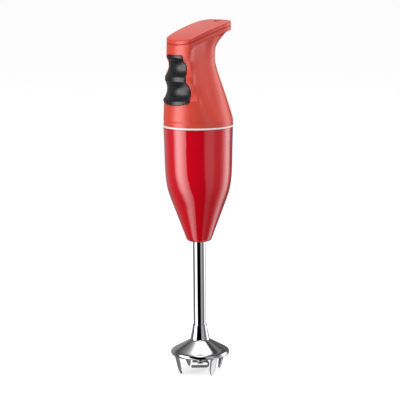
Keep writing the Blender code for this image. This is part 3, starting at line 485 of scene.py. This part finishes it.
def oval_rod(name, centre_z, grow, front_y=-40.0, back_y=-15.0):
    """A rod along Y with a button's outline, grown all round."""
    half_width, half_height = BUTTON_HALF_WIDTH + grow, BUTTON_HALF_HEIGHT + grow
    turns = [2 * math.pi * i / OVAL_SEGMENTS for i in range(OVAL_SEGMENTS)]
    mesh_edit = bmesh.new()
    rings = [[Vector((half_width * math.cos(turn), y, centre_z + half_height * math.sin(turn)))
              for turn in turns] for y in (front_y, back_y)]
    bridge_rings(mesh_edit, rings, close_ends=True)
    return new_object(name, mesh_edit)


# ---------------------------------------------------------------- materials
BROAD_NOISE_SCALE = 35.0
# how far the painted shade reaches: an ambient-occlusion node darkens colours in gaps narrower than
# this, where shade falls
CREVICE_SHADE_REACH = 0.0035     # metres


def shader_material(name, colour, roughness, metallic=0.0, specular=0.5, coat=0.0,
                    coat_roughness=0.05, coat_ior=1.5, colour_change=0.06, grain=900.0, bump=0.15,
                    bump_height=0.00004, wear=0.08, stretch=(1.0, 1.0, 1.0), crevice_shade=None):
    """A Principled surface whose colour, roughness and relief vary with object-space noise.

    Its last argument gives painted shade: the colour that it deepens to in narrow gaps, creases and
    holes, where shade falls.
    """
    material = bpy.data.materials.new(name)
    material.use_nodes = True
    tree = material.node_tree
    shader = tree.nodes["Principled BSDF"]
    shader.inputs["Metallic"].default_value = metallic
    shader.inputs["Specular IOR Level"].default_value = specular
    shader.inputs["Coat Weight"].default_value = coat
    shader.inputs["Coat Roughness"].default_value = coat_roughness
    shader.inputs["Coat IOR"].default_value = coat_ior
    place = tree.nodes.new("ShaderNodeTexCoord")
    mapping = tree.nodes.new("ShaderNodeMapping")
    mapping.inputs["Scale"].default_value = stretch
    tree.links.new(place.outputs["Object"], mapping.inputs["Vector"])

    def noise(scale, detail):
        node = tree.nodes.new("ShaderNodeTexNoise")
        node.inputs["Scale"].default_value = scale
        node.inputs["Detail"].default_value = detail
        tree.links.new(mapping.outputs["Vector"], node.inputs["Vector"])
        return node

    broad = noise(BROAD_NOISE_SCALE, 3.0)
    fine = noise(grain, 2.0)
    tint = tree.nodes.new("ShaderNodeMix")
    tint.data_type = "RGBA"
    dark = tuple(value * (1 - colour_change) for value in colour)
    light = tuple(min(value * (1 + colour_change), 1.0) for value in colour)
    tint.inputs["A"].default_value = (*dark, 1.0)
    tint.inputs["B"].default_value = (*light, 1.0)
    tree.links.new(broad.outputs["Fac"], tint.inputs["Factor"])
    tree.links.new(tint.outputs["Result"], shader.inputs["Base Color"])
    # painted shade: in narrow gaps, creases and holes, where shade falls, the ambient-occlusion
    # node darkens the colour towards the given shade colour
    if crevice_shade:
        hollow = tree.nodes.new("ShaderNodeAmbientOcclusion")
        hollow.inputs["Distance"].default_value = CREVICE_SHADE_REACH
        painted_shade = tree.nodes.new("ShaderNodeMix")
        painted_shade.data_type = "RGBA"
        painted_shade.inputs["A"].default_value = (*crevice_shade, 1.0)
        tree.links.new(hollow.outputs["AO"], painted_shade.inputs["Factor"])
        tree.links.new(tint.outputs["Result"], painted_shade.inputs["B"])
        tree.links.new(painted_shade.outputs["Result"], shader.inputs["Base Color"])
    spread = tree.nodes.new("ShaderNodeMapRange")
    spread.inputs["To Min"].default_value = max(roughness * (1 - wear), 0.01)
    spread.inputs["To Max"].default_value = min(roughness * (1 + wear), 1.0)
    tree.links.new(fine.outputs["Fac"], spread.inputs["Value"])
    tree.links.new(spread.outputs["Result"], shader.inputs["Roughness"])
    relief = tree.nodes.new("ShaderNodeBump")
    relief.inputs["Strength"].default_value = bump
    relief.inputs["Distance"].default_value = bump_height
    tree.links.new(fine.outputs["Fac"], relief.inputs["Height"])
    tree.links.new(relief.outputs["Normal"], shader.inputs["Normal"])
    return material


def make_materials():
    return {
        # the grip has painted shade: its colour darkens in its seam, crease and hang hole, where
        # shade falls
        "grip_red": shader_material("grip_red", (0.665, 0.046, 0.023), 0.36, grain=1500.0, bump=0.3,
                                    specular=1.0, coat=0.3, coat_roughness=0.32,
                                    crevice_shade=(0.36, 0.012, 0.010)),
        "housing_red": shader_material("housing_red", (0.64, 0.0028, 0.0130), 0.03, coat=1.0,
                                       coat_roughness=0.02, coat_ior=1.7, specular=0.55,
                                       colour_change=0.03, grain=260.0, bump=0.03, wear=0.15),
        "ring_white": shader_material("ring_white", (0.86, 0.85, 0.84), 0.35, colour_change=0.02),
        "cover_black": shader_material("cover_black", (0.009, 0.009, 0.011), 0.26, grain=1900.0,
                                       bump=0.2, specular=0.8, colour_change=0.15),
        "chrome": shader_material("chrome", (0.80, 0.80, 0.82), 0.018, metallic=1.0,
                                  colour_change=0.01, grain=700.0, bump=0.02, wear=0.35),
        "steel": shader_material("steel", (0.62, 0.62, 0.65), 0.22, metallic=1.0, grain=2200.0,
                                 bump=0.12, wear=0.3, stretch=(1.0, 1.0, 0.12)),
        "laminated_iron": shader_material("laminated_iron", (0.24, 0.24, 0.26), 0.5, metallic=1.0,
                                          grain=1800.0, bump=0.5, stretch=(0.02, 0.02, 1.0)),
        "copper": shader_material("copper", (0.70, 0.30, 0.13), 0.35, metallic=1.0, grain=1600.0,
                                  bump=0.6, stretch=(1.0, 1.0, 0.1)),
        "carbon": shader_material("carbon", (0.035, 0.035, 0.038), 0.7, grain=2400.0, bump=0.4),
        "board_green": shader_material("board_green", (0.03, 0.17, 0.07), 0.4, grain=500.0),
        "grey_plastic": shader_material("grey_plastic", (0.16, 0.165, 0.175), 0.5, grain=1400.0,
                                        bump=0.3),
        "brass": shader_material("brass", (0.72, 0.52, 0.22), 0.3, metallic=1.0, grain=1500.0,
                                 bump=0.15),
        "plunger_white": shader_material("plunger_white", (0.8, 0.8, 0.78), 0.4),
    }


MATERIALS = make_materials()


def dress_cad_nodes():
    """Every CAD node that is kept gets the finish of its own slot, and stays out of reflections.

    The bright parts don't mirror each other in this studio, so the shells that could show up in
    the chrome stay out of reflections too.
    """
    slots = {entry["node"]: entry["material_slot"] for entry in frame["record"]["subparts"]}
    for name, node in NODES.items():
        for material_slot in node.material_slots:
            material_slot.material = MATERIALS[slots[name]]
        node.visible_glossy = False


# ---------------------------------------------------------------- pieces
def build_grip():
    levels = [FLANGE_LEVEL * i / GRIP_ROWS for i in range(GRIP_ROWS + 1)]
    levels += LEVELS_ABOVE_FLANGE
    rings = [grip_ring(level) for level in levels]
    inner_levels = [i / INNER_ROWS for i in range(INNER_ROWS, -1, -1)]
    rings += [grip_ring(level, GRIP_WALL, BEAK_CAVITY_END_Y) for level in inner_levels]
    mesh_edit = bmesh.new()
    bridge_rings(mesh_edit, rings, close_loop=True)
    grip = new_object("grip_shell", mesh_edit, 40.0)
    inlet_z = (INLET_LOW.z + INLET_HIGH.z) / 2
    inlet_r = (INLET_HIGH.z - INLET_LOW.z) / 2 + GAP
    tools = [front_patch("pocket_tool", COVER_LOW.z - GAP, COVER_HIGH.z + GAP,
                         POCKET_TOOL_PROUD, COVER_DEPTH + GAP, GAP),
             rod("hang_tool", HANG_TOOL_FOOT, HANG_TOOL_HEAD, HANG_HOLE_R),
             rod("inlet_tool", (0, INLET_TOOL_FRONT_Y, inlet_z), (0, INLET_TOOL_BACK_Y, inlet_z),
                 inlet_r)]
    tools += [oval_rod("button_tool_" + where, z, 2 * GAP) for where, z in BUTTON_Z.items()]
    cut(grip, tools, "DIFFERENCE")
    make_piece(grip, "body", ["handle_housing"], MATERIALS["grip_red"])


def build_lid():
    edge = grip_ring(1.0)

    def ring(share, depth, inset=0.0, rear_limit=None):
        points = []
        for point in edge:
            length = math.hypot(point.x, point.y)
            radius = (length - inset) * share
            if rear_limit is not None and point.y * radius / length > rear_limit:
                radius = rear_limit * length / point.y
            x, y = point.x * radius / length, point.y * radius / length
            points.append(Vector((x, y, lid_top_z(y) - depth)))
        return points

    bottom = LID_HEIGHT - SEAM_GAP
    rings = [ring(0.1, LID_WALL), ring(0.6, LID_WALL, LID_WALL, BEAK_CAVITY_END_Y),
             ring(1.0, LID_WALL, LID_WALL, BEAK_CAVITY_END_Y),
             ring(1.0, bottom, LID_WALL, BEAK_CAVITY_END_Y), ring(1.0, bottom, LID_FOOT_INSET),
             ring(1.0, bottom - LID_FOOT_BREAK, LID_FOOT_BREAK),
             ring(1.0, bottom - LID_FOOT_INSET)]
    for i in range(LID_EDGE_STEPS + 1):
        turn = math.pi / 2 * i / LID_EDGE_STEPS
        drop, inset = LID_EDGE_R * (1 - math.sin(turn)), LID_EDGE_R * (1 - math.cos(turn))
        rings.append(ring(1.0, drop, inset))
    for share in LID_DOME_SHARES:
        rings.append(ring(share, LID_DOME * (1 - share ** 2), LID_EDGE_R))
    mesh_edit = bmesh.new()
    bridge_rings(mesh_edit, rings, close_ends=True)
    lid = new_object("lid_cap", mesh_edit, 40.0)
    cut(lid, [rod("hang_tool", HANG_TOOL_FOOT, HANG_TOOL_HEAD, HANG_HOLE_LID_R)], "DIFFERENCE")
    make_piece(lid, "body", ["top_lid"], MATERIALS["grip_red"])


def round_edges(piece, width, angle=40.0):
    modifier = piece.modifiers.new("round", "BEVEL")
    modifier.width = width * MM
    modifier.segments = 3
    modifier.limit_method = "ANGLE"
    modifier.angle_limit = math.radians(angle)
    modifier.use_clamp_overlap = True
    apply_modifiers(piece)
    piece.data.shade_smooth()
    piece.data.set_sharp_from_angle(angle=math.radians(50))


def build_switches():
    cover = front_patch("switch_plate", COVER_LOW.z, COVER_HIGH.z, COVER_PROUD, COVER_DEPTH)
    cut(cover, [oval_rod("cover_tool_" + where, z, GAP) for where, z in BUTTON_Z.items()],
        "DIFFERENCE")
    round_edges(cover, EDGE_ROUND)
    make_piece(cover, "body", ["switch_cover"], MATERIALS["cover_black"])
    for where, z in BUTTON_Z.items():
        back = node_box(where + "_button")[1].y
        button = front_patch(where + "_pad", z - SCOOP_HALF_HEIGHT, z + SCOOP_HALF_HEIGHT,
                             COVER_PROUD, BUTTON_DEPTH, scale=BUTTON_SPREAD,
                             rows=BUTTON_ROWS, columns=BUTTON_ROWS)
        cut(button, [oval_rod("keep_tool", z, 0.0)], "INTERSECT")
        stem = rod("stem_tool", (0, back - STEM_LENGTH, z), (0, back, z), STEM_R, STEM_SEGMENTS)
        cut(button, [stem], "UNION")
        round_edges(button, EDGE_ROUND)
        make_piece(button, where + "_button", [where + "_button"],
                   MATERIALS["cover_black"])


def fine_profile(points, step=PROFILE_STEP):
    """The same wall, read as a smooth curve at about one ring per step of its length."""
    lengths = [0.0]
    for (z0, r0), (z1, r1) in zip(points, points[1:]):
        lengths.append(lengths[-1] + math.hypot(z1 - z0, r1 - r0))
    levels = list(zip(lengths, (point[0] for point in points)))
    radii = list(zip(lengths, (point[1] for point in points)))
    count = max(int(lengths[-1] / step), 2)
    places = [lengths[-1] * i / count for i in range(count + 1)]
    return [(smooth_read(levels, place), smooth_read(radii, place)) for place in places]


def build_ring_and_housing():
    low, high, radius = RING_LOW.z, RING_HIGH.z, RING_HIGH.x
    inner, middle = radius - RING_WIDTH, RING_ROUND_MIDDLE
    ring = turned("white_ring", ((low, inner), (low, radius - RING_ROUND),
                                 (low + middle, radius - middle), (low + RING_ROUND, radius),
                                 (high - RING_ROUND, radius), (high - middle, radius - middle),
                                 (high, radius - RING_ROUND), (high, inner)))
    make_piece(ring, "body", ["trim_ring"], MATERIALS["ring_white"])
    outer = fine_profile(HOUSING_PROFILE)
    lowest, highest = HOUSING_CAVITY
    wall = [(z, radius - HOUSING_WALL) for z, radius in reversed(HOUSING_PROFILE)
            if lowest < z < highest]
    housing = turned("housing_shell", outer + list(HOUSING_FLOOR) + wall + [HOUSING_RIM])
    make_piece(housing, "body", ["motor_housing"], MATERIALS["housing_red"])
    housing.visible_glossy = False


def build_guard():
    guard = turned("guard_shell", fine_profile(GUARD_OUTER, GUARD_STEP) + list(GUARD_INNER))
    prongs = []
    for i in range(PRONG_COUNT):
        angle = math.radians(PRONG_FIRST_ANGLE + i * 360 / PRONG_COUNT)
        outward = Vector((math.cos(angle), math.sin(angle), 0))
        sideways = Vector((-math.sin(angle), math.cos(angle), 0))
        radii = [(-z, radius) for z, radius, _ in PRONG_LEVELS]
        widths = [(-z, width) for z, _, width in PRONG_LEVELS]
        rings = []
        for k in range(PRONG_ROWS + 1):
            z = PRONG_LEVELS[0][0] * (1 - k / PRONG_ROWS)
            radius, width = smooth_read(radii, -z), smooth_read(widths, -z)
            ring = []
            for side, share in PRONG_SECTION:
                across = share * width / 2
                bulge = across ** 2 / (2 * radius)
                reach = radius + side * PRONG_THICKNESS / 2 - bulge
                ring.append(outward * reach + sideways * across + Vector((0, 0, z)))
            rings.append(ring)
        mesh_edit = bmesh.new()
        bridge_rings(mesh_edit, rings, close_ends=True)
        prong = new_object("prong_%d" % i, mesh_edit)
        round_edges(prong, PRONG_ROUND, 50.0)
        prongs.append(prong)
    cut(guard, prongs, "UNION")
    guard.data.set_sharp_from_angle(angle=math.radians(35))
    make_piece(guard, "body", ["blade_guard"], MATERIALS["chrome"])
    guard.visible_glossy = False
    radius = TUBE_HIGH.x
    tube = turned("tube_wall", ((TUBE_LOW.z, radius - TUBE_WALL), (TUBE_LOW.z, radius),
                                (TUBE_HIGH.z, radius), (TUBE_HIGH.z, radius - TUBE_WALL)))
    make_piece(tube, "body", ["shaft_tube"], MATERIALS["chrome"])
    tube.visible_glossy = False


# ---------------------------------------------------------------- studio
FLOOR_RADIUS = 30.0        # metres
FLOOR_DROP = 0.0003
FLOOR_WHITE = 0.92
FLOOR_ROUGHNESS = 0.9
FLOOR_GLOW = 0.42
LIGHT_AIM = Vector((0, 0, 0.2))
# name, degrees to the right of the camera's side, height and distance from the axis in metres,
# size, power, and whether it shows in reflections. The foot light is below the floor, which is
# left out of reflections; it is there for the front right prong.
AREA_LIGHTS = (("key", -62, 0.35, 1.1, (0.6, 0.9), 7.5, False),
               ("rim", 105, 0.5, 1.0, (0.5, 0.9), 5.5, False),
               ("top", -20, 1.5, 0.5, (0.8, 0.8), 7.0, False),
               ("foot", 64, -0.055, 0.105, (0.045, 0.07), 0.0085, True))


def add_floor():
    mesh_edit = bmesh.new()
    bmesh.ops.create_circle(mesh_edit, cap_ends=True, radius=FLOOR_RADIUS, segments=96)
    mesh = bpy.data.meshes.new("floor")
    mesh_edit.to_mesh(mesh)
    mesh_edit.free()
    floor = bpy.data.objects.new("floor", mesh)
    floor.location.z = -FLOOR_DROP
    floor.visible_glossy = False
    floor.visible_diffuse = False
    material = bpy.data.materials.new("floor_white")
    material.use_nodes = True
    shader = material.node_tree.nodes["Principled BSDF"]
    shader.inputs["Base Color"].default_value = (FLOOR_WHITE, FLOOR_WHITE, FLOOR_WHITE, 1.0)
    shader.inputs["Roughness"].default_value = FLOOR_ROUGHNESS
    shader.inputs["Specular IOR Level"].default_value = 0.0
    shader.inputs["Emission Color"].default_value = (1.0, 1.0, 1.0, 1.0)
    shader.inputs["Emission Strength"].default_value = FLOOR_GLOW
    mesh.materials.append(material)
    bpy.context.scene.collection.objects.link(floor)


def add_area(name, angle, height, distance, size, power, glossy):
    """A soft light, turned towards the middle of the object."""
    turn = VIEW_AZIMUTH + math.radians(angle)
    data = bpy.data.lights.new(name, "AREA")
    data.shape = "RECTANGLE"
    data.size, data.size_y = size
    data.energy = power
    light = bpy.data.objects.new(name, data)
    place = Vector((math.sin(turn) * distance, -math.cos(turn) * distance, height))
    light.location = place
    light.rotation_mode = "QUATERNION"
    light.rotation_quaternion = (LIGHT_AIM - place).to_track_quat("-Z", "Y")
    light.visible_glossy = glossy
    bpy.context.scene.collection.objects.link(light)


# soft boxes for the reflections: (degrees to the right of the camera's side, brightness)
WALL_BOXES = ((-140, 0.3), (-108, 0.10), (-94, 0.15), (-76, 3.2), (-68, 3.2), (-56, 2.2),
              (-44, 1.1), (-42, 0.0), (16, 0.0), (25, 0.42), (46, 0.5), (62, 0.18), (80, 0.18),
              (92, 0.6), (110, 2.0), (122, 1.7), (133, 0.4), (140, 0.12))
# and across the ceiling, from left to right: (sideways over height, brightness)
CEILING_BOXES = ((-0.65, 0.10), (-0.45, 0.25), (-0.32, 0.5), (-0.2, 1.4), (0.3, 1.4),
                 (0.37, 0.06), (0.46, 0.06), (0.58, 0.24), (0.75, 0.07))
BOX_PEAK = 3.2
# where the walls give way to the ceiling, as heights of the unit direction
CEILING_START = 0.35
CEILING_FULL = 0.55
# below the horizon the walls get darker, and on the left the boxes move round; heights are
# those of the unit direction
LOW_DIM = 0.45
LOW_START = -0.139
LOW_END = -0.735
LOW_SHIFT = math.radians(21.0)
LOW_SHIFT_END = math.pi / 3
WORLD_STRENGTH = 0.6       # on matt surfaces
BACKDROP_STRENGTH = 1.0    # as the camera sees it


class Studio:
    """Short ways of adding nodes to the world's tree."""

    def __init__(self, tree):
        self.tree = tree

    def node(self, kind, **settings):
        node = self.tree.nodes.new("ShaderNode" + kind)
        for name, value in settings.items():
            setattr(node, name, value)
        return node

    def math(self, operation, *values):
        node = self.node("Math", operation=operation)
        for socket, value in zip(node.inputs, values):
            self.put(socket, value)
        return node.outputs["Value"]

    def put(self, socket, value):
        if isinstance(value, bpy.types.NodeSocket):
            self.tree.links.new(value, socket)
        else:
            socket.default_value = value

    def map_range(self, value, low, high, to_low, to_high, smooth=False):
        node = self.node("MapRange", interpolation_type="SMOOTHSTEP" if smooth else "LINEAR")
        names = ("Value", "From Min", "From Max", "To Min", "To Max")
        for name, entry in zip(names, (value, low, high, to_low, to_high)):
            self.put(node.inputs[name], entry)
        return node.outputs["Result"]

    def ramp(self, factor, stops, low, high):
        node = self.node("ValToRGB")
        elements = node.color_ramp.elements
        elements.remove(elements[-1])
        for i, (place, level) in enumerate(stops):
            position = (place - low) / (high - low)
            element = elements[0] if i == 0 else elements.new(position)
            element.position = position
            element.color = (level / BOX_PEAK, level / BOX_PEAK, level / BOX_PEAK, 1.0)
        self.put(node.inputs["Fac"], factor)
        return node.outputs["Color"]

    def mix(self, factor, first, second):
        node = self.node("Mix", data_type="RGBA")
        for name, value in (("Factor", factor), ("A", first), ("B", second)):
            self.put(node.inputs[name], value)
        return node.outputs["Result"]


def add_world():
    """Even light for matt surfaces; for reflections, soft boxes and black flags all round."""
    world = bpy.data.worlds.new("studio")
    bpy.context.scene.world = world
    world.use_nodes = True
    tree = world.node_tree
    tree.nodes.clear()
    studio = Studio(tree)
    turn = studio.node("VectorRotate", rotation_type="Z_AXIS")
    turn.inputs["Angle"].default_value = -VIEW_AZIMUTH
    studio.put(turn.inputs["Vector"], studio.node("TexCoord").outputs["Generated"])
    split = studio.node("SeparateXYZ")
    studio.put(split.inputs["Vector"], turn.outputs["Vector"])
    sideways, height = split.outputs["X"], split.outputs["Z"]
    ahead = studio.math("MULTIPLY", split.outputs["Y"], -1.0)
    around = studio.math("ARCTAN2", sideways, ahead)
    low = studio.map_range(height, LOW_END, LOW_START, 1.0, 0.0)
    shift = studio.map_range(around, 0.0, LOW_SHIFT_END, LOW_SHIFT, 0.0)
    leaned = studio.math("SUBTRACT", around, studio.math("MULTIPLY", low, shift))
    turned_share = studio.map_range(leaned, -math.pi, math.pi, 0.0, 1.0)
    walls = studio.ramp(turned_share, WALL_BOXES, -180, 180)
    across = studio.math("DIVIDE", sideways, studio.math("MAXIMUM", height, 0.1))
    ceiling = studio.ramp(studio.map_range(across, -1.0, 1.0, 0.0, 1.0), CEILING_BOXES, -1.0, 1.0)
    overhead = studio.map_range(height, CEILING_START, CEILING_FULL, 0.0, 1.0, smooth=True)
    banded = studio.node("Background")
    studio.put(banded.inputs["Color"], studio.mix(overhead, walls, ceiling))
    studio.put(banded.inputs["Strength"],
               studio.map_range(low, 0.0, 1.0, BOX_PEAK, BOX_PEAK * LOW_DIM))
    plain = studio.node("Background")
    seen = studio.node("LightPath").outputs["Is Camera Ray"]
    studio.put(plain.inputs["Strength"],
               studio.map_range(seen, 0.0, 1.0, WORLD_STRENGTH, BACKDROP_STRENGTH))
    plain.inputs["Color"].default_value = (1.0, 1.0, 1.0, 1.0)
    chosen = studio.node("MixShader")
    studio.put(chosen.inputs["Fac"], studio.node("LightPath").outputs["Is Glossy Ray"])
    studio.put(chosen.inputs[1], plain.outputs["Background"])
    studio.put(chosen.inputs[2], banded.outputs["Background"])
    studio.put(studio.node("OutputWorld").inputs["Surface"], chosen.outputs["Shader"])


def main():
    add_camera()
    dress_cad_nodes()
    build_grip()
    build_lid()
    build_switches()
    build_ring_and_housing()
    build_guard()
    add_floor()
    add_world()
    for light in AREA_LIGHTS:
        add_area(*light)


main()
